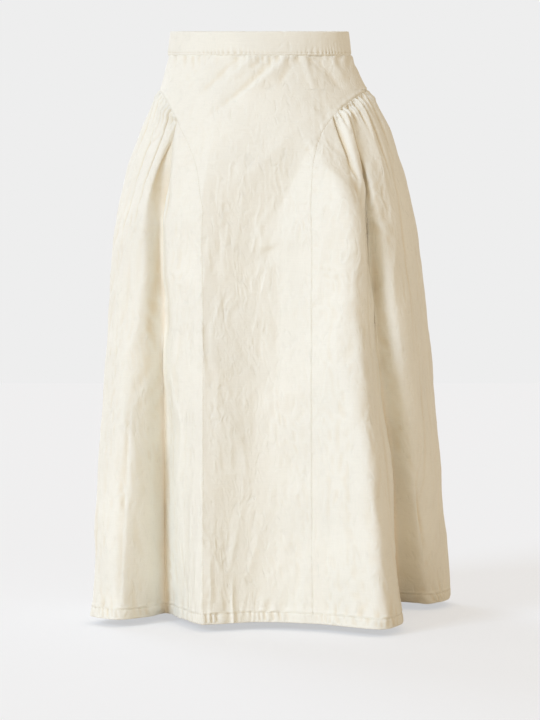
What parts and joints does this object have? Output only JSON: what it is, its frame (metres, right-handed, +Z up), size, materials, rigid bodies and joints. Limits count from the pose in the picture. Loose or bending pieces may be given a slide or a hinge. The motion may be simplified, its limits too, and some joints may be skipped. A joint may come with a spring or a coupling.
{
  "type": "a-line skirt",
  "caption": "Cream cotton a-line midi skirt as worn: pointed yoke, flared side panels gathered into arched seams, flat front waistband.",
  "frame": {"origin": "the middle of the waistband, on the wearer's axis", "axes": "+Z up, the wearer faces -Y, and +X is to the right of someone looking at the front"},
  "size_m": [0.5102, 0.476, 0.832],
  "materials": {
    "cloth": "washed plain-weave cotton, matte",
    "band": "washed plain-weave cotton, doubled, matte"
  },
  "bodies": {
    "root": {"waistband_front": "band", "waistband_back": "band", "front_panel": "cloth", "back_panel": "cloth", "side_panel_right": "cloth", "side_panel_left": "cloth"}
  },
  "joints": []
}
